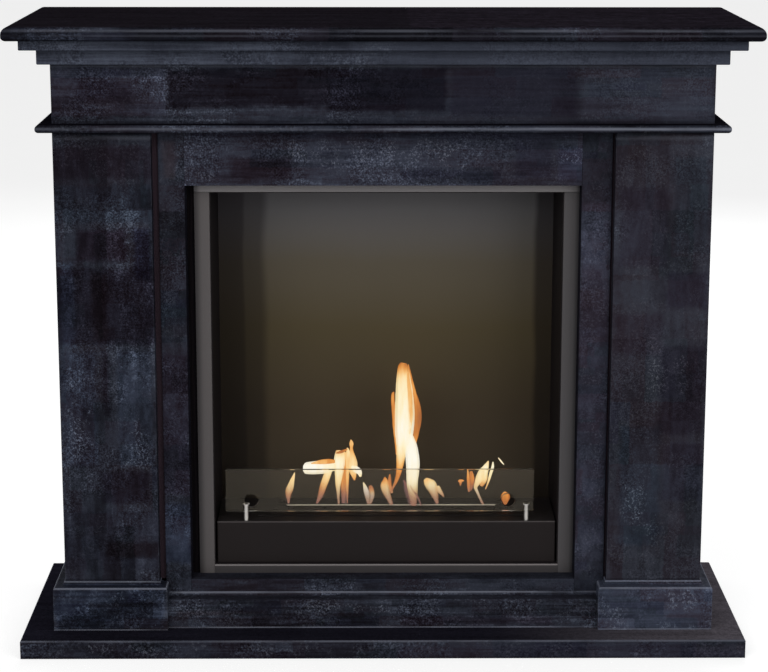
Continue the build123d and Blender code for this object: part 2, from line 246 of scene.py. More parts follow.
# A sum with the spot only moves to another part of the noise.
busy = fade(tree, cloud(tree, vector_calc(tree, "ADD", spot, (3, 1, 2)), 13, 3), 0.44, 0.6)
blocky = fade(tree, cloud(tree, vector_calc(tree, "ADD", spot, (5, 4, 1)), 5, 2), 0.36, 0.62)
blocky = times(tree, given["Patchy"], scaled(tree, blocky, 0.8, 0.2))
shares = (
    (wide["Tone"], times(tree, blocky, 0.32)),
    (narrow["Tone"], times(tree, blocky, 0.22)),
    (drift, 0.2),
    (streaks, 0.24),
    (mottle, scaled(tree, busy, 0.2, 0.1)),
    (speckle, scaled(tree, busy, 0.32, 0.06)),
)
total = calc(tree, "ADD", given["Lift"], 0.5)
for source, share in shares:
    share = times(tree, given["Contrast"], share)
    total = scaled(tree, calc(tree, "SUBTRACT", source, 0.5), share, total)
pigment = {
    0: srgb(11, 10, 13),
    0.28: srgb(19, 17, 21),
    0.5: srgb(31, 31, 37),
    0.75: srgb(49, 51, 60),
    1: srgb(88, 92, 104),
}
hues = {
    0: (1.0, 0.8, 0.82, 1),
    0.35: (1.0, 0.88, 0.96, 1),
    0.55: (0.92, 0.9, 0.98, 1),
    0.72: (0.84, 0.96, 1.0, 1),
    1: (0.84, 0.86, 1.08, 1),
}
hue = scaled(tree, narrow["Hue"], 0.3, times(tree, wide["Hue"], 0.7))
cast = colour_scale(tree, hue, hues)
cast = blend_colours(tree, fade(tree, total, 0.5, 0.75), cast, (0.93, 0.97, 1.02, 1))
colour = blend_colours(tree, 1.0, colour_scale(tree, total, pigment), cast, "MULTIPLY")
specks = cloud(tree, vector_calc(tree, "ADD", spot, (8, 3, 6)), 210, 4, 0.75)
specks = times(tree, fade(tree, specks, 0.56, 0.64), given["Contrast"])
specks = times(tree, specks, scaled(tree, busy, 0.5, 0.2), clamp=True)
colour = blend_colours(tree, specks, colour, srgb(12, 12, 20))
scuffed = times(
    tree,
    fade(tree, cloud(tree, spot, 26, 3), 0.44, 0.6),
    fade(tree, cloud(tree, spot, 230, 4, 0.8), 0.5, 0.66),
)
scuffed = times(tree, scuffed, given["Scuffs"])
colour = blend_colours(tree, scuffed, colour, srgb(112, 117, 130))
rough = scaled(tree, mottle, -0.15, 0.75)
height = scaled(tree, mottle, 0.4, times(tree, streaks, 0.4))
height = scaled(tree, speckle, 0.3, height)
feed(tree, out, {"Colour": colour, "Roughness": rough, "Height": height})


def new_material(name):
    material = bpy.data.materials.new(name)
    material.use_nodes = True
    return material


def principled(material, feeds):
    """Feeds the material's own shader; plain numbers stay on its sockets."""
    nodes = material.node_tree.nodes
    shader = next(part for part in nodes if part.type == "BSDF_PRINCIPLED")
    feed(material.node_tree, shader, feeds)


def bump(tree, height, strength, distance):
    feeds = {"Height": height, "Strength": strength, "Distance": distance}
    return add(tree, "ShaderNodeBump", feeds).outputs["Normal"]


ACROSS = (6, 60, 170)
SHADE_COLOUR = srgb(9, 8, 14)
BARE_AND_HIGHLIT = srgb(112, 115, 127)
SHAKE = 0.022
SOFT_STROKE = 0.012
SOFT_RUB = 0.02
THROUGH = 2
EDGE_LINE_WIDTH = 0.0035


def slate(
    name,
    patch,
    brush,
    low=(-1, -1, -1),
    high=(2, 2, 2),
    contrast=1.0,
    lift=0.0,
    scuffs=0.2,
    lines=(),
    strokes=(),
    rubs=(),
    top=None,
    shaded_inner_sides=0.0,
    gloss=0.02,
    patchy=1.0,
    calmer=0.0,
    fainter=0.0,
):
    """The slate finish on one kind of board.

    Patch is the size of its widest patches, and brush how closely its streaks lie along each
    axis. Low and high are the corners of the right-hand board, and with them its edges get a
    light line, partly wear and partly painted highlight. Sizes from here on are in millimetres.
    A line is (height, half width, amount): above zero a light line, partly wear and partly
    painted highlight along a nose or an edge, and below zero painted shade in a crease or under
    a moulding. A stroke or a rub is a box seen from the front: (centre x, z, half sizes x, z), a
    stroke with its tint and a rub with its amount. Top is a darker tone painted on a lying face,
    which is painted shade: its tone, how much it covers, and its tone at the right-hand end.
    Sides that face the middle get painted shade, as dark as shaded_inner_sides says. Calmer is
    the share of the contrast that is lost at the right-hand end, and fainter the share of the
    lines that is lost at the left-hand end.
    """
    material = new_material(name)
    tree = material.node_tree
    spot = object_spot(tree)
    part = split(tree, spot)
    right = fade(tree, part[0], -0.1, 0.1)
    shaken = cloud(tree, spot, 40, 5, 0.75, "Color")
    shaken = vector_calc(tree, "MULTIPLY_ADD", shaken, [SHAKE] * 3, spot)
    shaken = vector_calc(tree, "SUBTRACT", shaken, [SHAKE / 2] * 3)

    def laid_on(place, soft):
        x, z, half_x, half_z = [value / 1000 for value in place]
        feeds = {"Spot": shaken, "Centre": (x, 0, z), "Half size": (half_x, THROUGH, half_z)}
        return place_group(tree, "stroke", {**feeds, "Soft": soft})["Mask"]

    rubbed = scuffs
    for *place, amount in rubs:
        rubbed = scaled(tree, laid_on(place, SOFT_RUB), amount, rubbed)
    finish = place_group(
        tree,
        "slate_finish",
        {
            "Patch": patch,
            "Brush": brush,
            "Contrast": scaled(tree, right, -calmer * contrast, contrast),
            "Lift": lift,
            "Scuffs": rubbed,
            "Patchy": patchy,
        },
    )
    facing = face_direction(tree)
    upright = fade(tree, facing[2], 0.98, 0.8)
    colour = finish["Colour"]
    # A lying face gets the darker top tone: painted shade.
    if top:
        tone, amount, right_tone = (*top, top[0])[:3]
        tone = blend_colours(tree, fade(tree, part[0], 0.15, 0.6), srgb(*tone), srgb(*right_tone))
        grain = scaled(tree, finish["Height"], 0.9, 0.5)
        tone = blend_colours(tree, 1.0, tone, grain, "MULTIPLY")
        colour = blend_colours(tree, scaled(tree, upright, -amount, amount), colour, tone)
    for *place, tint in strokes:
        covered = laid_on(place, SOFT_STROKE)
        colour = blend_colours(tree, covered, colour, (*tint, 1), "MULTIPLY")
    # Edges get a light line: partly wear, partly painted highlight where an edge catches the light.
    edges = {"Low": low, "High": high, "Width": EDGE_LINE_WIDTH, "Broken": 0.34}
    lightened = times(tree, place_group(tree, "edge_wear_and_highlight", edges)["Mask"], 0.5)
    # Painted shade: the sides that face the middle and the dark lines in creases are darkened.
    painted_shade = 0.0
    if shaded_inner_sides:
        towards = times(tree, facing[0], calc(tree, "SIGN", part[0]))
        painted_shade = times(tree, fade(tree, towards, -0.5, -0.9), shaded_inner_sides)
    wavy = fade(tree, cloud(tree, spot, (7, 7, 60), 4), 0.25, 0.6)
    shown = times(tree, upright, scaled(tree, right, fainter, 1 - fainter))
    # Light lines are partly wear and partly painted highlight; dark lines are painted shade.
    for height, half_width, amount in lines:
        away = calc(tree, "ABSOLUTE", calc(tree, "SUBTRACT", part[2], height / 1000))
        line = times(tree, fade(tree, away, half_width / 1000, 0.0), wavy)
        line = times(tree, line, times(tree, shown, abs(amount)))
        if amount > 0:
            lightened = calc(tree, "MAXIMUM", lightened, line)
        else:
            painted_shade = calc(tree, "MAXIMUM", painted_shade, line)
    colour = blend_colours(tree, painted_shade, colour, SHADE_COLOUR)
    principled(
        material,
        {
            "Base Color": blend_colours(tree, lightened, colour, BARE_AND_HIGHLIT),
            "Roughness": finish["Roughness"],
            "Specular IOR Level": gloss,
            "Normal": bump(tree, finish["Height"], 0.3, 0.0006),
        },
    )
    return material


def dress(material, *names):
    for name in names:
        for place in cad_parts[name].material_slots:
            place.material = material


slab_low, slab_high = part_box("base_slab")
# Its top gets the darker top tone, painted shade; its top edge a light line, partly wear and
# partly painted highlight; and its foot a line of painted shade.
slab_slate = slate(
    "slab_slate",
    (0.16, 0.1, 0.05),
    ACROSS,
    (-1, slab_low.y, slab_low.z - 1),
    slab_high,
    lift=0.12,
    calmer=0.5,
    lines=((31, 3, 0.4), (2, 3, -0.4)),
    rubs=((-250, 16, 280, 14, 0.5), (444, 12, 17, 14, 0.4)),
    strokes=((320, 8, 300, 22, (1.0, 0.93, 0.98)), (575, 14, 50, 18, (1.5, 1.4, 1.35))),
    top=((23, 22, 30), 0.97, (76, 72, 78)),
    gloss=0.0,
)
dress(slab_slate, "base_slab")

# ----------------------------------------------------------------------------
# Mantel body: front boards of the two pilasters, the sides behind them and the frieze above.
# They are stone boards glued edge to edge, with their joints filled and rubbed over.

pilaster_low, pilaster_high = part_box("pilaster_right")
pilaster_slate = slate(
    "pilaster_slate",
    (0.07, 0.09, 0.11),
    (60, 60, 14),
    pilaster_low - Vector((0, 0, 1)),
    pilaster_high + Vector((0, 0.2, 1)),
    contrast=0.85,
    lift=0.08,
    shaded_inner_sides=0.6,
    lines=((894, 5, -0.8), (886, 6, 0.2), (118, 3, -0.5)),
    strokes=(
        (-466, 844, 90, 32, (0.74, 0.64, 0.68)),
        (-466, 775, 90, 37, (0.8, 0.88, 0.92)),
        (-469, 705, 47, 33, (0.6, 0.45, 0.5)),
        (-403, 690, 20, 50, (0.52, 0.5, 0.64)),
        (-466, 600, 90, 72, (0.54, 0.47, 0.52)),
        (-476, 600, 20, 64, (0.66, 0.54, 0.52)),
        (-530, 600, 17, 80, (1.45, 1.7, 1.8)),
        (-514, 422, 34, 106, (1.08, 1.16, 1.25)),
        (-421, 422, 34, 106, (1.04, 1.12, 1.2)),
        (-469, 468, 12, 62, (0.5, 0.42, 0.46)),
        (-440, 284, 46, 34, (0.62, 0.54, 0.6)),
        (-466, 190, 90, 60, (0.8, 0.78, 0.82)),
        (-430, 172, 52, 20, (0.62, 0.5, 0.48)),
        (466, 500, 95, 440, (1.24, 1.2, 1.14)),
        (435, 734, 46, 72, (0.84, 0.78, 0.84)),
        (513, 772, 34, 88, (0.9, 1.02, 1.04)),
        (510, 628, 40, 37, (0.72, 0.66, 0.74)),
        (430, 552, 46, 40, (0.86, 0.76, 0.8)),
        (506, 455, 42, 83, (0.68, 0.62, 0.68)),
        (438, 285, 40, 112, (0.9, 1.03, 1.1)),
        (510, 310, 40, 57, (0.84, 0.84, 0.92)),
    ),
    rubs=(
        (-514, 400, 32, 84, 0.6),
        (-421, 360, 34, 50, 0.5),
        (-530, 610, 17, 60, 0.3),
        (438, 236, 38, 60, 0.4),
        (480, 500, 40, 60, 0.3),
    ),
    scuffs=0.12,
    calmer=0.4,
)
dress(pilaster_slate, "pilaster_left", "pilaster_right", "side_panel_left", "side_panel_right")
frieze_low, frieze_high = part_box("frieze_board")
frieze_slate = slate(
    "frieze_slate",
    (0.12, 0.1, 0.032),
    ACROSS,
    (-1, frieze_low.y, -1),
    (frieze_high.x, 1, 2),
    contrast=0.95,
    lift=0.1,
    scuffs=0.1,
    lines=((912, 4, -0.5), (1005, 4, 0.2)),
    strokes=(
        (-452, 962, 100, 46, (1.22, 1.2, 1.26)),
        (-460, 962, 50, 24, (0.72, 0.66, 0.7)),
        (-222, 968, 140, 38, (0.34, 0.28, 0.31)),
        (6, 966, 104, 42, (0.38, 0.33, 0.38)),
        (214, 962, 110, 46, (0.7, 0.64, 0.7)),
        (435, 960, 114, 48, (1.42, 1.45, 1.45)),
    ),
    patchy=0.6,
    calmer=0.6,
)
dress(frieze_slate, "frieze_board", "frieze_side_left", "frieze_side_right")

# ----------------------------------------------------------------------------
# Plinths: moulded runs round the feet of the pilasters, back along both sides, and a lower
# one under the opening. Each is a stone strip, mitred at its corners and glued on.

plinth_low, plinth_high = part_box("pilaster_plinth_right")
plinth_slate = slate(
    "plinth_slate",
    (0.11, 0.1, 0.03),
    ACROSS,
    plinth_low,
    plinth_high + Vector((0, 1, 0)),
    lift=0.08,
    scuffs=0.3,
    calmer=0.45,
    lines=((115, 2.5, 0.55), (108, 2.5, 0.7), (34, 2, 0.7), (112, 2, -0.6)),
    strokes=(
        (-470, 75, 100, 45, (0.8, 0.88, 1.0)),
        (-424, 79, 46, 10, (0.55, 0.48, 0.48)),
        (471, 75, 110, 60, (2.05, 2.15, 2.25)),
    ),
    rubs=((-455, 92, 23, 9, 0.6), (471, 80, 90, 20, 0.1)),
    top=((27, 28, 35), 0.8),
)
dress(plinth_slate, "pilaster_plinth_left", "pilaster_plinth_right")
dress(plinth_slate, "side_skirting_left", "side_skirting_right")
centre_low, centre_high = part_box("centre_plinth")
centre_slate = slate(
    "centre_plinth_slate",
    (0.11, 0.1, 0.03),
    ACROSS,
    centre_low - Vector((1, 0, 0)),
    centre_high + Vector((0, 1, 0)),
    lift=0.07,
    lines=((89, 3, 0.7), (34, 2, 0.8)),
    strokes=((-277, 61, 85, 9, (1.0, 0.8, 0.75)), (164, 45, 136, 14, (0.75, 0.62, 0.65))),
    rubs=((-69, 70, 98, 17, 0.8), (168, 82, 72, 9, 0.8)),
    top=((28, 28, 35), 0.7),
)
dress(centre_slate, "centre_plinth")

# ----------------------------------------------------------------------------
# Surround: lintel, two jambs and a sill, one slab cut in four that stands back between the
# pilasters. They butt together without a groove, and the insert shows in their opening.

lintel_slate = slate(
    "lintel_slate",
    (0.14, 0.1, 0.03),
    (12, 60, 150),
    contrast=0.85,
    lift=0.1,
    patchy=0.7,
    calmer=0.2,
    lines=((894, 4, -0.8), (809, 4, -0.2)),
    strokes=(
        (0, 850, 400, 60, (1.25, 1.24, 1.26)),
        (-358, 846, 16, 38, (1.2, 0.95, 0.88)),
        (-204, 832, 57, 24, (0.62, 0.5, 0.52)),
        (0, 890, 330, 12, (0.7, 0.68, 0.74)),
        (111, 822, 90, 14, (0.6, 0.58, 0.64)),
        (250, 850, 36, 40, (0.75, 0.72, 0.78)),
        (325, 841, 38, 34, (1.2, 1.25, 1.4)),
    ),
    rubs=((15, 856, 180, 30, 0.5), (-312, 823, 37, 19, 0.4), (325, 841, 38, 34, 0.4)),
    scuffs=0.12,
    top=((22, 22, 28), 0.6),
)
dress(lintel_slate, "lintel", "sill")
jamb_slate = slate(
    "jamb_slate",
    (0.1, 0.1, 0.045),
    (60, 60, 30),
    contrast=0.8,
    lift=0.06,
    shaded_inner_sides=0.8,
    patchy=0.9,
    calmer=0.3,
    strokes=(
        (-358, 846, 16, 38, (1.2, 0.95, 0.88)),
        (-355, 582, 30, 25, (0.95, 1.1, 1.15)),
        (-355, 390, 30, 130, (0.82, 0.72, 0.78)),
        (-355, 195, 30, 60, (1.1, 1.2, 1.35)),
        (357, 450, 30, 330, (1.7, 1.62, 1.68)),
    ),
    scuffs=0.12,
)
dress(jamb_slate, "jamb_left", "jamb_right")

# ----------------------------------------------------------------------------
# Mouldings over the pilasters: the half-round astragal and the two cornice strips. Each has
# a front length and two returns, planed to shape, mitred at the corners and glued on.

# The light band along its nose is partly wear and partly painted highlight; its top and the
# crease under it get painted shade.
astragal_slate = slate(
    "astragal_slate",
    (0.15, 0.1, 0.05),
    ACROSS,
    contrast=0.8,
    lift=0.05,
    lines=((904, 4, 0.75), (898, 2, -0.6)),
    fainter=0.55,
    top=((17, 16, 22), 0.95),
    gloss=0.0,
)
cornice_slate = slate(
    "cornice_slate",
    (0.3, 0.1, 0.08),
    ACROSS,
    contrast=0.45,
    lift=0.3,
    scuffs=0.05,
    calmer=0.6,
    rubs=((-60, 1030, 90, 30, 0.3),),
    patchy=0.3,
)
for run in ("front", "return_left", "return_right"):
    dress(astragal_slate, "astragal_" + run)
    dress(cornice_slate, "lower_cornice_" + run, "upper_cornice_" + run)

# ----------------------------------------------------------------------------
# Mantel shelf: one stone board with a rounded front and rounded ends, painted darker on top as
# painted shade, and light along the nose, partly wear and partly painted highlight. It lies on
# the cornice strips and is bedded in adhesive.

shelf_slate = slate(
    "shelf_slate",
    (0.2, 0.1, 0.05),
    ACROSS,
    lift=-0.06,
    scuffs=0.0,
    lines=((1069, 3.5, 0.3), (1061, 3, 0.12)),
    strokes=(
        (-560, 1060, 80, 9, (1.35, 1.4, 1.5)),
        (-300, 1080, 320, 9, (0.75, 0.72, 0.72)),
        (330, 1080, 290, 9, (2.1, 2.0, 2.15)),
    ),
    top=((25, 22, 27), 0.95),
    gloss=0.0,
)
dress(shelf_slate, "mantel_shelf")

# ----------------------------------------------------------------------------
# Carcass: cheeks, battens, back rail, cleats and the shelf that the insert stands on. Sawn
# softwood, stained near-black, partly a real stain and partly painted shade that keeps the
# shadow gaps round the insert dark. The tongues in the joints beside the pilasters are painted
# near the colour of the stone.

JOINT = -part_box("jamb_left")[0].x
JOINT_WIDTH = 0.003
timber = new_material("stained_and_shaded_timber")
tree = timber.node_tree
spot = object_spot(tree)
rings = {
    "Vector": vector_calc(tree, "MULTIPLY", spot, (1, 1, 0.12)),
    "Scale": 45,
    "Distortion": 6,
    "Detail": 4,
    "Detail Scale": 2,
}
rings = add(tree, "ShaderNodeTexWave", rings).outputs["Fac"]
fibres = cloud(tree, spot, (300, 300, 8), 4)
grain = scaled(tree, fibres, 0.5, times(tree, rings, 0.5))
colour = blend_colours(tree, grain, srgb(9, 8, 11), srgb(20, 16, 18))
part = split(tree, spot)
filled = fade(tree, calc(tree, "ABSOLUTE", part[0]), JOINT - JOINT_WIDTH, JOINT)
filled = times(tree, filled, fade(tree, part[1], -0.055, -0.065))
filler = blend_colours(tree, fibres, srgb(38, 30, 36), srgb(64, 52, 60))
principled(
    timber,
    {
        "Base Color": blend_colours(tree, filled, colour, filler),
        "Roughness": scaled(tree, grain, -0.2, 0.85),
        "Specular IOR Level": 0.02,
        "Normal": bump(tree, grain, 0.4, 0.0005),
    },
)
dress(timber, "back_rail", "head_batten", "insert_shelf")
for side in ("left", "right"):
    dress(timber, "pilaster_cheek_" + side, "shelf_cleat_" + side, "jamb_batten_" + side)

# ----------------------------------------------------------------------------
# Insert frame: four bars of folded steel, butted at the corners, powder coated dark grey.
# They cover the edge of the casing and stand in the surround's opening.

tree, given, out = shader_group(
    "powder_coat",
    {"Grit": ("Float", 900.0), "Marks": ("Float", 0.3)},
    {"Value": "Float", "Height": "Float"},
)
spot = object_spot(tree)
pores = cloud(tree, spot, given["Grit"], 2)
wiped = calc(tree, "SUBTRACT", cloud(tree, spot, (9, 9, 3), 4), 0.5)
value = scaled(tree, wiped, given["Marks"], 0.5)
value = scaled(tree, calc(tree, "SUBTRACT", pores, 0.5), 0.12, value)
feed(tree, out, {"Value": value, "Height": pores})


def coated(name, dark, light, roughness, specular, patina_and_painted_light=None):
    """Powder-coated sheet steel; patina_and_painted_light mixes a second colour in, by a mask."""
    material = new_material(name)
    tree = material.node_tree
    coat = place_group(tree, "powder_coat", {"Grit": 900, "Marks": 0.5})
    colour = blend_colours(tree, coat["Value"], srgb(*dark), srgb(*light))
    principled(
        material,
        {
            "Base Color": patina_and_painted_light(tree, colour) if patina_and_painted_light else colour,
            "Roughness": scaled(tree, coat["Value"], 0.12, roughness),
            "Specular IOR Level": specular,
            "Normal": bump(tree, coat["Height"], 0.15, 0.0002),
        },
    )
    return material


def shaded_rim(tree, colour):
    """Painted shade on the coat near the outer edge, where the jamb stands over the bar."""
    across = split(tree, object_spot(tree))[0]
    left, right = [corner.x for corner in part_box("frame_top")]
    from_right = scaled(tree, calc(tree, "SUBTRACT", right, across), 1.6)
    inwards = calc(tree, "MINIMUM", calc(tree, "SUBTRACT", across, left), from_right)
    rim_shade = fade(tree, inwards, 0.013, 0.0)
    return blend_colours(tree, rim_shade, colour, (0.3, 0.29, 0.31, 1), "MULTIPLY")


def fold_highlight(tree, colour):
    """A painted highlight along the fold at its top, where the bend catches the light."""
    height = split(tree, object_spot(tree))[2]
    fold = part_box("frame_bottom")[1].z
    lightened = fade(tree, height, fold - 0.003, fold - 0.001)
    return blend_colours(tree, lightened, colour, srgb(112, 107, 107))


# Each bar gets its own tone of one coat, the top lightest and the bottom darkest: painted
# light and shade.
for bar, dark, light, patina_and_painted_light in (
    ("left", (70, 66, 66), (82, 78, 78), shaded_rim),
    ("top", (112, 109, 110), (124, 121, 122), shaded_rim),
    ("right", (62, 60, 61), (74, 71, 73), shaded_rim),
    ("bottom", (44, 41, 42), (56, 53, 54), fold_highlight),
):
    dress(coated("frame_coat_" + bar, dark, light, 0.4, 0.25, patina_and_painted_light), "frame_" + bar)

# ----------------------------------------------------------------------------
# Casing: the sheet-steel box behind the frame. Its back panel has a satin heat-proof coat
# that the fire has turned olive-brown low down and left grey above, with painted shadow under
# the roof and painted shade at both sides; the side walls, floor and roof are a much darker
# copy of the coat, painted shade for the inside of the box.

casing_low, casing_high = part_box("casing_back")


def heat_tint_and_shade(tree, colour):
    """By height, inside only: olive-brown heat tint, grey above, painted shade at roof and sides.
    """
    spot = object_spot(tree)
    soft = cloud(tree, spot, 5, 2, gives="Color")
    part = split(tree, vector_calc(tree, "MULTIPLY_ADD", soft, (0.02, 0.02, 0.02), spot))
    rise = {"Value": part[2], "From Min": casing_low.z + 0.01, "From Max": casing_high.z + 0.01}
    rise = add(tree, "ShaderNodeMapRange", rise).outputs["Result"]
    # Olive-brown heat tint low down, grey above, and a band of painted shadow under the roof.
    heat_and_roof_shade = {
        0: srgb(58, 52, 44),
        0.35: srgb(60, 51, 38),
        0.58: srgb(74, 65, 46),
        0.76: srgb(88, 81, 69),
        0.9: srgb(106, 104, 105),
        0.955: srgb(104, 102, 105),
        0.985: srgb(44, 41, 43),
        1: srgb(20, 18, 20),
    }
    colour = blend_colours(tree, 1.0, colour, colour_scale(tree, rise, heat_and_roof_shade), "MULTIPLY")
    # Painted shade darkens both sides of the panel, and most of all its far left.
    left = times(tree, fade(tree, part[0], -0.19, -0.21), 0.6)
    far_left = times(tree, fade(tree, part[0], -0.222, -0.242), 0.85)
    right = times(tree, fade(tree, part[0], 0.275, 0.288), 0.8)
    side_shade = calc(tree, "MAXIMUM", calc(tree, "MAXIMUM", left, far_left), right)
    colour = blend_colours(tree, side_shade, colour, (0.15, 0.13, 0.15, 1), "MULTIPLY")
    outside = fade(tree, face_direction(tree)[1], 0.2, 0.8)
    coat = blend_colours(tree, soft, srgb(38, 37, 38), srgb(52, 51, 52))
    return blend_colours(tree, outside, colour, coat)


back_coat = coated("casing_back_coat", (236, 236, 236), (255, 255, 255), 0.5, 0.1, heat_tint_and_shade)
# The side walls, floor and roof get a much darker copy of the coat: painted shade.
shaded_side_coat = coated("casing_side_coat", (16, 13, 14), (23, 19, 21), 0.5, 0.1)
dress(back_coat, "casing_back")
dress(shaded_side_coat, "casing_left", "casing_right", "casing_floor", "casing_roof")

# ----------------------------------------------------------------------------
# Burner housing: a folded black box on the casing floor, with the burner plate let into its
# top. The damper, a flat plate with two hook holes, slides between two folded guides.

housing_low, housing_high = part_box("burner_housing")


def bent_edge(tree, colour):
    """A painted highlight along the bend between front and top, and a painted reflection on top."""
    part = split(tree, object_spot(tree))
    front, lid = housing_low.y, housing_high.z
    # The top face is painted lighter: a painted reflection.
    top_reflection = fade(tree, part[2], lid - 0.0004, lid - 0.0001)
    colour = blend_colours(tree, top_reflection, colour, srgb(30, 27, 27))
    # The bend gets a painted highlight.
    bend = times(
        tree,
        fade(tree, part[2], lid - 0.0024, lid - 0.0012),
        fade(tree, part[1], front + 0.003, front + 0.001),
    )
    return blend_colours(tree, bend, colour, srgb(62, 58, 58))


housing_coat = coated("housing_coat", (21, 17, 17), (27, 22, 22), 0.45, 0.12, bent_edge)
dress(housing_coat, "burner_housing", "burner_plate", "damper_guide_left", "damper_guide_right")
dress(coated("damper_coat", (20, 17, 17), (28, 24, 23), 0.4, 0.15), "damper")

# ----------------------------------------------------------------------------
# Stainless parts: the collar that lines the flame slot, the fuel tank under it, and the two
# slotted posts with their nuts. Turned or folded, and left brushed; the flame has blackened
# the collar, and its lip is a light non-metal band, a painted highlight.


def brushed_steel(name, smoothest, lip=None):
    """Brushed stainless steel; lip marks the corner of a sooted piece painted as a highlight."""
    material = new_material(name)
    tree = material.node_tree
    spot = object_spot(tree)
    lay = cloud(tree, spot, (40, 900, 900), 3)
    stain = cloud(tree, spot, 60, 3)
    if lip:
        part = split(tree, spot)
        lit_lip = times(
            tree,
            fade(tree, scaled(tree, stain, 0.0006, part[2]), lip.z - 0.0022, lip.z - 0.0012),
            fade(tree, part[1], lip.y - 0.006, lip.y - 0.003),
        )
        colour = blend_colours(tree, lit_lip, srgb(40, 33, 30), srgb(214, 206, 198))
        metallic = calc(tree, "SUBTRACT", 1.0, lit_lip)
    else:
        colour = blend_colours(tree, stain, srgb(150, 146, 140), srgb(196, 193, 188))
        metallic = 1.0
    principled(
        material,
        {
            "Base Color": colour,
            "Metallic": metallic,
            "Roughness": scaled(tree, lay, 0.25, smoothest),
            "Normal": bump(tree, lay, 0.1, 0.0001),
        },
    )
    return material


bright_steel = brushed_steel("brushed_stainless", 0.2)
dress(bright_steel, "burner_tank", "glass_post_left", "glass_post_right", "post_nuts")
dress(brushed_steel("sooted_stainless", 0.5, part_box("slot_collar")[1]), "slot_collar")

# ----------------------------------------------------------------------------
# Ceramic wool: the soft white blanket in the tank that soaks up the fuel and carries the
# flame. A lumpy pad, cut to the tank and packed below the slot, with loose fibres on top.


def growing_tree(name, takes):
    """An empty Geometry Nodes tree: a mesh in, a mesh out, and named settings with values."""
    tree = bpy.data.node_groups.new(name, "GeometryNodeTree")
    tree.interface.new_socket("Base", in_out="INPUT", socket_type="NodeSocketGeometry")
    settings = {}
    for label, (kind, value) in takes.items():
        socket = tree.interface.new_socket(label, in_out="INPUT", socket_type="NodeSocket" + kind)
        settings[socket.identifier] = value
    tree.interface.new_socket("Grown", in_out="OUTPUT", socket_type="NodeSocketGeometry")
    given = tree.nodes.new("NodeGroupInput").outputs
    return tree, given, tree.nodes.new("NodeGroupOutput"), settings


def shape_node(tree, kind, feeds=None, **settings):
    return add(tree, "GeometryNode" + kind, feeds, **settings).outputs[0]


def finish_growing(tree, out, geometry, material):
    feeds = {"Geometry": shape_node(tree, "RealizeInstances", {"Geometry": geometry})}
    feeds["Material"] = material
    feed(tree, out, {"Grown": shape_node(tree, "SetMaterial", feeds)})


def show(name, data):
    shown = bpy.data.objects.new(name, data)
    bpy.context.scene.collection.objects.link(shown)
    return shown


def grow_piece(name, base, tree, settings):
    """A plain mesh object: what the tree makes of the base mesh."""
    piece = show(name, base)
    grow = piece.modifiers.new("grow", "NODES")
    grow.node_group = tree
    for identifier, value in settings.items():
        grow[identifier] = value
    grown = piece.evaluated_get(bpy.context.evaluated_depsgraph_get())
    piece.data = bpy.data.meshes.new_from_object(grown)
    piece.modifiers.remove(grow)
    bpy.data.meshes.remove(base)
    return piece


wool = new_material("ceramic_wool")
tree = wool.node_tree
spot = object_spot(tree)
tufts = cloud(tree, spot, 260, 6, 0.7)
scorched = fade(tree, cloud(tree, spot, 35, 3), 0.4, 0.7)
principled(
    wool,
    {
        "Base Color": blend_colours(tree, scorched, srgb(206, 202, 192), srgb(120, 112, 102)),
        "Roughness": scaled(tree, tufts, -0.1, 1.0),
        "Specular IOR Level": 0.1,
        "Normal": bump(tree, tufts, 0.8, 0.002),
    },
)

WOOL_CELL = 0.004
LUMP = 0.0016
LUMPS_PER_METRE = 90
FIBRE_ROOM = 0.0022
wool_low, wool_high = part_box("ceramic_wool")
wool_high.z -= FIBRE_ROOM
wool_size = wool_high - wool_low
wool_middle = (wool_low + wool_high) / 2
shape = bmesh.new()
bmesh.ops.create_cube(shape, size=1)
bmesh.ops.scale(shape, vec=wool_size - Vector([2 * LUMP] * 3), verts=shape.verts)
bmesh.ops.translate(shape, vec=wool_middle, verts=shape.verts)
for axis in range(3):
    planes = round(wool_size[axis] / WOOL_CELL)
    normal = Vector([float(axis == other) for other in range(3)])
    for step in range(1, planes):
        place = wool_low + normal * wool_size[axis] * step / planes
        whole = shape.verts[:] + shape.edges[:] + shape.faces[:]
        bmesh.ops.bisect_plane(shape, geom=whole, plane_co=place, plane_no=normal)
every_axis = {"use_axis_x": True, "use_axis_y": True, "use_axis_z": True}
bmesh.ops.smooth_vert(shape, verts=shape.verts, factor=0.5, **every_axis)
shape.normal_update()
for vert in shape.verts:
    vert.co += vert.normal * LUMP * noise.noise(vert.co * LUMPS_PER_METRE)
for face in shape.faces:
    face.smooth = True
pad = bpy.data.meshes.new("wool_pad")
shape.to_mesh(pad)
shape.free()

tree, given, out, settings = growing_tree(
    "wool_fibres",
    {
        "Density": ("Float", 260000.0),
        "Fibre length": ("Float", 0.007),
        "Fibre radius": ("Float", 0.00014),
        "Bare rim": ("Float", 0.005),
        "Seed": ("Int", 4),
    },
)
length = given["Fibre length"]
bow = {
    "Resolution": 3,
    "Start": join(tree, times(tree, length, -0.5)),
    "Middle": join(tree, z=times(tree, length, 0.35)),
    "End": join(tree, times(tree, length, 0.5)),
}
bow = shape_node(tree, "CurveQuadraticBezier", bow)
thread = {"Resolution": 3, "Radius": given["Fibre radius"]}
thread = shape_node(tree, "CurvePrimitiveCircle", thread)
fibre = shape_node(tree, "CurveToMesh", {"Curve": bow, "Profile Curve": thread})
upward = split(tree, shape_node(tree, "InputNormal"))[2]
away = vector_calc(tree, "SUBTRACT", shape_node(tree, "InputPosition"), wool_middle)
away = vector_calc(tree, "ABSOLUTE", away)
inwards = split(tree, vector_calc(tree, "SUBTRACT", wool_size / 2, away))
inwards = calc(tree, "MINIMUM", inwards[0], inwards[1])
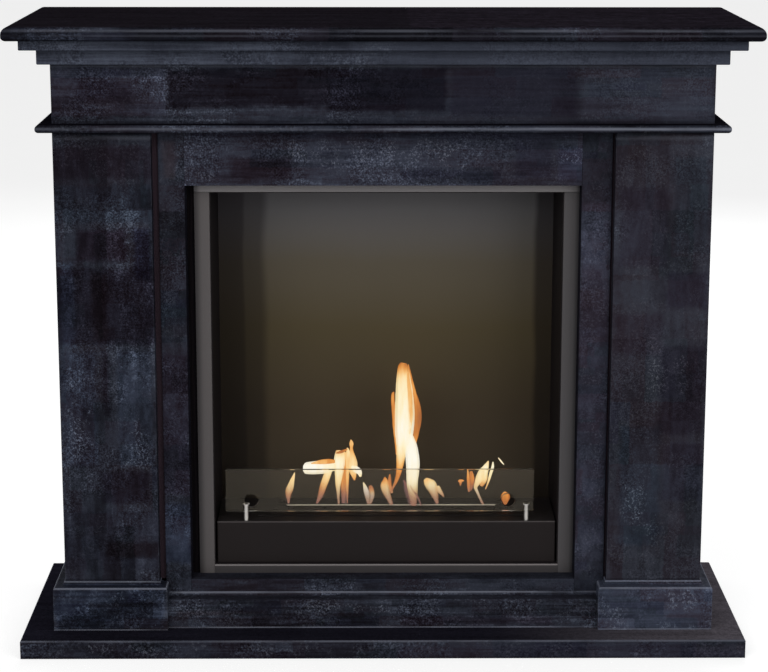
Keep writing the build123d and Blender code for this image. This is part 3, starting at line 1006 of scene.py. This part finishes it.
rooted = times(
    tree,
    calc(tree, "GREATER_THAN", upward, 0.7),
    calc(tree, "GREATER_THAN", inwards, given["Bare rim"]),
)
roots = {
    "Mesh": given["Base"],
    "Selection": rooted,
    "Density": given["Density"],
    "Seed": given["Seed"],
}
roots = shape_node(tree, "DistributePointsOnFaces", roots)
turned = {0: (-0.5, -0.3, 0.0), 1: (0.5, 0.3, math.tau), "Seed": given["Seed"]}
turned = add(tree, "FunctionNodeRandomValue", turned, data_type="FLOAT_VECTOR").outputs[0]
sized = {2: 0.5, 3: 1.2, "Seed": given["Seed"]}
sized = add(tree, "FunctionNodeRandomValue", sized, data_type="FLOAT").outputs[1]
fibres = {"Points": roots, "Instance": fibre, "Rotation": turned, "Scale": sized}
fibres = shape_node(tree, "InstanceOnPoints", fibres)
together = tree.nodes.new("GeometryNodeJoinGeometry")
tree.links.new(fibres, together.inputs[0])
tree.links.new(given["Base"], together.inputs[0])
finish_growing(tree, out, together.outputs[0], wool)
wool_piece = grow_piece("wool_blanket", pad, tree, settings)
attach(wool_piece, "burner")
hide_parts("ceramic_wool")

# ----------------------------------------------------------------------------
# Flames: the tongues that rise from the wool through the slot. Each grows along a bent spine
# in three shells, orange outside and cream inside, and they lift out with the burner.

collar_low, collar_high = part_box("slot_collar")
SLOT_MIDDLE = (collar_low.y + collar_high.y) / 2
# A tongue is how far it stands in front of the slot's middle, then its stations from end to
# end: x, z and half width in millimetres, and warmth from 0 for violet to 1 for white.
TONGUES = (
    # The leaf at the far left, and the lobe with its leg.
    (
        0,
        (-167, 210, 1.4, 0.3),
        (-167, 227, 5.3, 0.45),
        (-164, 240, 6.2, 0.7),
        (-156, 267, 0.9, 0.7),
    ),
    (-2, (-117, 209, 1.6, 0.2), (-110, 227, 5.3, 0.35), (-99, 259, 6.4, 0.7), (-92, 279, 5.3, 0.8)),
    (2, (-141, 276, 4.6, 1), (-136, 276, 10.3, 1), (-108, 277, 12, 0.95), (-82, 281, 8, 0.8)),
    (8, (-126, 286, 0.9, 0.5), (-110, 289, 4, 0.5), (-96, 290, 4.6, 0.42), (-84, 290, 3, 0.4)),
    # The column in three folds, with the slanted cap on it.
    (3, (-78, 209, 1.8, 0.6), (-79, 240, 4, 0.7), (-76, 287, 10, 0.88), (-74, 307, 8.6, 0.6)),
    (-1, (-70, 210, 4.2, 0.1), (-69, 238, 5.7, 0.35), (-68, 270, 6, 0.4), (-68, 303, 6, 0.6)),
    (2, (-63, 210, 1.2, 0.35), (-63, 250, 2.7, 0.5), (-61, 301, 3.9, 0.7), (-62, 313, 1.1, 0.6)),
    (9, (-83, 305, 0.7, 0.3), (-76, 307, 2.5, 0.25), (-68, 310, 2.5, 0.25), (-62, 313, 0.9, 0.35)),
    # The bud on its neck, and its shoulder.
    (
        0,
        (-56, 327, 0.9, 0.6),
        (-55, 320, 3.9, 0.58),
        (-55, 310, 2.8, 0.5),
        (-53, 283, 8.7, 0.7),
        (-51, 261, 4.2, 0.55),
        (-50, 253, 1.1, 0.35),
    ),
    (4, (-55, 280, 2.8, 0.85), (-47, 275, 6, 0.95), (-41, 270, 5.1, 1), (-39, 261, 1.8, 0.75)),
    # Small tongues between the bud and the tall one.
    (0, (-34, 249, 0.9, 0.8), (-31, 240, 3.4, 0.95), (-27, 227, 5.1, 0.95), (-24, 209, 2.3, 0.6)),
    (-2, (-22, 242, 2.8, 0.2), (-20, 236, 4.4, 0.35), (-18, 223, 4.1, 0.85), (-21, 209, 1.9, 0.6)),
    (0, (4, 259, 1.1, 0.3), (5, 251, 5.3, 0.45), (4, 238, 7.3, 0.65), (16, 208, 3.5, 0.5)),
    (-2, (13, 264, 0.9, 0.35), (13, 255, 2.8, 0.3), (13, 242, 3.4, 0.4), (17, 229, 2.5, 0.45)),
    # The tall tongue: its body, its fringes left and right, its second leg and its roots.
    (
        0,
        (37, 467, 6, 0.3),
        (36, 460, 9.2, 0.42),
        (37, 437, 12.9, 0.76),
        (39, 400, 16.6, 0.84),
        (39, 367, 17.7, 0.9),
        (38, 334, 15.6, 0.95),
        (34, 307, 9.6, 0.8),
        (27, 261, 4.1, 0.34),
        (15, 231, 1.2, 0.3),
    ),
    (
        5,
        (45, 349, 1.8, 0.85),
        (49, 327, 8.5, 0.95),
        (53, 292, 12.2, 1),
        (53, 251, 9.9, 0.9),
        (54, 233, 8.5, 0.7),
        (55, 208, 5.2, 0.4),
    ),
    (-4, (20, 414, 1.2, 0.3), (18, 404, 3, 0.4), (21, 354, 3.4, 0.4), (26, 299, 2.1, 0.45)),
    (-3, (45, 464, 0.9, 0.3), (53, 422, 3.9, 0.42), (62, 368, 7.4, 0.28), (56, 316, 2.7, 0.4)),
    (7, (44, 452, 1.2, 0.5), (47, 420, 3.6, 0.52), (49, 380, 4.2, 0.56), (48, 340, 1.4, 0.7)),
    (2, (38, 253, 1.4, 0.1), (43, 240, 5.3, 0.05), (47, 227, 6.4, 0), (50, 209, 4.2, 0)),
    (9, (49, 246, 1.2, 0.25), (54, 237, 1.8, 0.2), (61, 227, 1.9, 0.12), (68, 209, 1.6, 0.1)),
    # The leaf beside it with its pointed tip, and a spark.
    (0, (76, 255, 3.9, 0.62), (81, 249, 8.1, 0.7), (88, 240, 9.6, 0.75), (98, 209, 2.3, 0.4)),
    (3, (97, 242, 3.9, 0.7), (101, 234, 4.2, 0.65), (106, 228, 2.7, 0.55), (109, 223, 0.9, 0.45)),
    (0, (134, 251, 0.9, 0.4), (139, 252, 2.7, 0.42), (145, 252, 0.9, 0.5)),
    (0, (139, 250, 2.7, 0.38), (139, 243, 1.1, 0.28)),
    # The folded tongue at the right, with its two tips and its stem.
    (0, (151, 272, 0.9, 0.5), (152, 259, 2.3, 0.45), (153, 242, 2.8, 0.34), (154, 231, 1.6, 0.3)),
    (-2, (157, 268, 2.8, 0.34), (159, 255, 4.6, 0.36), (158, 240, 3.4, 0.2), (157, 233, 1.4, 0.2)),
    (
        3,
        (188, 289, 0.9, 0.7),
        (184, 279, 5, 0.85),
        (177, 266, 8.7, 0.8),
        (166, 243, 3.9, 0.7),
        (168, 233, 2.5, 0.8),
        (179, 209, 2.3, 0.6),
    ),
    (0, (180, 270, 6, 0.8), (179, 255, 7.1, 0.68), (176, 242, 2.8, 0.4)),
    (5, (196, 288, 0.9, 0.8), (195, 279, 2.5, 0.9), (191, 264, 2.5, 0.8), (183, 238, 0.9, 0.5)),
    # A loose lick above the right-hand end, and the low one under it.
    (0, (205, 294, 0.7, 0.8), (210, 288, 1.4, 0.85), (215, 282, 0.7, 0.8)),
    (0, (217, 231, 2.5, 0.4), (218, 227, 7, 0.36), (219, 219, 8.4, 0.28), (219, 208, 2.6, 0.2)),
)
spine_points, spine_edges, half_widths, warmths = [], [], [], []
for ahead, *stations in TONGUES:
    first = len(spine_points)
    spine_edges += [(first + step, first + step + 1) for step in range(len(stations) - 1)]
    for x, z, half_width, warmth in stations:
        spine_points.append((x / 1000, SLOT_MIDDLE - ahead / 1000, z / 1000))
        half_widths.append(half_width / 1000)
        warmths.append(warmth)
spines = bpy.data.meshes.new("flame_spines")
spines.from_pydata(spine_points, spine_edges, [])
for label, values in (("half_width", half_widths), ("warmth", warmths)):
    spines.attributes.new(label, "FLOAT", "POINT").data.foreach_set("value", values)

fire = new_material("alcohol_flame")
tree = fire.node_tree
warmth = add(tree, "ShaderNodeAttribute", attribute_name="warmth").outputs["Fac"]
shell = add(tree, "ShaderNodeAttribute", attribute_name="shell").outputs["Fac"]
inner = fade(tree, shell, 1.05, 0.4)
spot = object_spot(tree)
lick = calc(tree, "SUBTRACT", cloud(tree, spot, (150, 150, 30), 2), 0.5)
glow = scaled(tree, inner, 0.22, calc(tree, "SUBTRACT", warmth, 0.1))
glow = scaled(tree, lick, 0.3, glow, clamp=True)
fire_colours = {
    0: srgb(96, 76, 92),
    0.14: srgb(150, 92, 64),
    0.3: srgb(216, 132, 58),
    0.45: srgb(242, 176, 98),
    0.6: srgb(252, 214, 150),
    0.75: srgb(255, 238, 188),
    1: srgb(255, 254, 248),
}
colour = colour_scale(tree, glow, fire_colours)
part = split(tree, spot)
foot = times(tree, fade(tree, part[2], 0.26, 0.212), fade(tree, part[0], 0.208, 0.2))
cover = scaled(tree, inner, 0.3, 0.62)
cover = times(tree, cover, fade(tree, warmth, -0.25, 0.35))
cover = times(tree, cover, scaled(tree, foot, -0.55, 1.0))
colour = blend_colours(tree, times(tree, foot, 0.85), colour, srgb(142, 104, 100))
principled(
    fire,
    {
        "Base Color": (0, 0, 0, 1),
        "Roughness": 1.0,
        "Specular IOR Level": 0.0,
        "Emission Color": colour,
        "Emission Strength": 1.0,
        "Alpha": cover,
    },
)

tree, given, out, settings = growing_tree(
    "flame_tongues",
    {
        "Step": ("Float", 0.003),
        "Ring points": ("Int", 12),
        "Flatness": ("Float", 0.6),
        "Ripple": ("Float", 0.003),
    },
)
place = shape_node(tree, "InputPosition")
sway = vector_calc(tree, "SUBTRACT", cloud(tree, place, 40, 2, gives="Color"), (0.5, 0.5, 0.5))
sway = add(tree, "ShaderNodeVectorMath", {0: sway, "Scale": given["Ripple"]}, operation="SCALE")
spine = {"Curve": shape_node(tree, "MeshToCurve", {"Mesh": given["Base"]})}
spine = {"Curve": shape_node(tree, "CurveSplineType", spine, spline_type="CATMULL_ROM")}
spine = shape_node(tree, "ResampleCurve", {**spine, "Length": given["Step"]}, mode="LENGTH")
spine = {"Geometry": spine, "Offset": sway.outputs[0]}
spine = {"Geometry": shape_node(tree, "SetPosition", spine)}
spine = {**spine, "Name": "middle", "Value": split(tree, place)["Y"]}
spine = shape_node(tree, "StoreNamedAttribute", spine, data_type="FLOAT")
half_width = shape_node(tree, "InputNamedAttribute", {"Name": "half_width"}, data_type="FLOAT")
ring = {"Resolution": given["Ring points"], "Radius": 1.0}
ring = shape_node(tree, "CurvePrimitiveCircle", ring)
shells = tree.nodes.new("GeometryNodeJoinGeometry")
for share in (1.0, 0.72, 0.42):
    skin = {
        "Curve": spine,
        "Profile Curve": ring,
        "Scale": times(tree, half_width, share),
        "Fill Caps": True,
    }
    skin = {"Geometry": shape_node(tree, "CurveToMesh", skin), "Name": "shell", "Value": share}
    skin = shape_node(tree, "StoreNamedAttribute", skin, data_type="FLOAT")
    tree.links.new(skin, shells.inputs[0])
middle = shape_node(tree, "InputNamedAttribute", {"Name": "middle"}, data_type="FLOAT")
part = split(tree, place)
thinner = scaled(tree, calc(tree, "SUBTRACT", part["Y"], middle), given["Flatness"], middle)
skin = {"Geometry": shells.outputs[0], "Position": join(tree, part["X"], thinner, part["Z"])}
skin = {"Geometry": shape_node(tree, "SetPosition", skin)}
finish_growing(tree, out, shape_node(tree, "SetShadeSmooth", skin), fire)
flames = grow_piece("flames", spines, tree, settings)
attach(flames, "burner")

# ----------------------------------------------------------------------------
# Glass pane: clear toughened glass with two finger holes, its edges ground and polished. It
# drops into the slots of the two posts and lifts out upwards.

glass = new_material("clear_glass")
tree = glass.node_tree
smear = fade(tree, cloud(tree, object_spot(tree), 9, 3), 0.55, 3.0)
flatness = calc(tree, "ABSOLUTE", face_direction(tree)[1])
ground = times(tree, fade(tree, flatness, 0.7, 0.3), 0.35)
principled(
    glass,
    {
        "Base Color": srgb(250, 246, 236),
        "Roughness": calc(tree, "MAXIMUM", ground, smear),
        "Transmission Weight": 1.0,
        "Metallic": 0.0,
        "IOR": 1.27,
        "Specular Tint": (1.0, 0.9, 0.76, 1),
    },
)
dress(glass, "glass_pane")

# ----------------------------------------------------------------------------
# Studio: a pale floor, soft lamps left and right, a weaker one behind, and the camera where
# the photograph was taken from.


def looked_at(tree):
    """1 for what the camera, a mirror or glass sees, and 0 for the light on the object."""
    path = add(tree, "ShaderNodeLightPath").outputs
    seen = calc(tree, "MAXIMUM", path["Is Camera Ray"], path["Is Glossy Ray"])
    return calc(tree, "MAXIMUM", seen, path["Is Transmission Ray"])


FLOOR_REACH = 40
FLOOR_DROP = 0.0002
FLOOR_GLOW = 0.63
floor_mesh = bpy.data.meshes.new("floor")
shape = bmesh.new()
bmesh.ops.create_grid(shape, x_segments=1, y_segments=1, size=FLOOR_REACH)
bmesh.ops.translate(shape, verts=shape.verts, vec=(0, 0, -FLOOR_DROP))
shape.to_mesh(floor_mesh)
shape.free()
floor = show("floor", floor_mesh)
pale = new_material("pale_floor")
tree = pale.node_tree
uneven = cloud(tree, object_spot(tree), 4, 3)
principled(
    pale,
    {
        "Base Color": blend_colours(tree, uneven, srgb(186, 186, 186), srgb(190, 190, 190)),
        "Roughness": 1.0,
        "Specular IOR Level": 0.0,
        "Emission Color": blend_colours(tree, looked_at(tree), (0, 0, 0, 1), (1, 1, 1, 1)),
        "Emission Strength": FLOOR_GLOW,
    },
)
floor_mesh.materials.append(pale)

SKY_LIGHT = 0.45
world = bpy.data.worlds.new("studio")
bpy.context.scene.world = world
world.use_nodes = True
tree = world.node_tree
background = next(part for part in tree.nodes if part.type == "BACKGROUND")
strength = scaled(tree, looked_at(tree), 1 - SKY_LIGHT, SKY_LIGHT)
feed(tree, background, {"Color": (1, 1, 1, 1), "Strength": strength})

LAMP_SIZE = 2.6
LAMP_TARGET = Vector((0, 0, 0.5))
for name, place, power in (
    ("key_lamp", (-1.9, -3.4, 2.7), 78),
    ("fill_lamp", (2.4, -3.2, 2.0), 62),
    ("back_lamp", (0.4, 3.2, 2.4), 60),
):
    lamp = bpy.data.lights.new(name, "AREA")
    lamp.size = LAMP_SIZE
    lamp.energy = power
    holder = show(name, lamp)
    holder.location = place
    holder.rotation_euler = (LAMP_TARGET - holder.location).to_track_quat("-Z", "Y").to_euler()

SENSOR = 36
PICTURE_WIDTH = 768
FOCAL_PIXELS = 2118
lens = bpy.data.cameras.new("camera")
lens.sensor_width = SENSOR
lens.lens = FOCAL_PIXELS / PICTURE_WIDTH * SENSOR
lens.shift_y = -0.099
viewpoint = show("camera", lens)
viewpoint.location = (-0.0263, -3.5967, 1.3871)
viewpoint.rotation_euler = [math.radians(angle) for angle in (78.487, -0.067, -0.438)]
bpy.context.scene.camera = viewpoint
bpy.context.scene.view_settings.view_transform = "Standard"
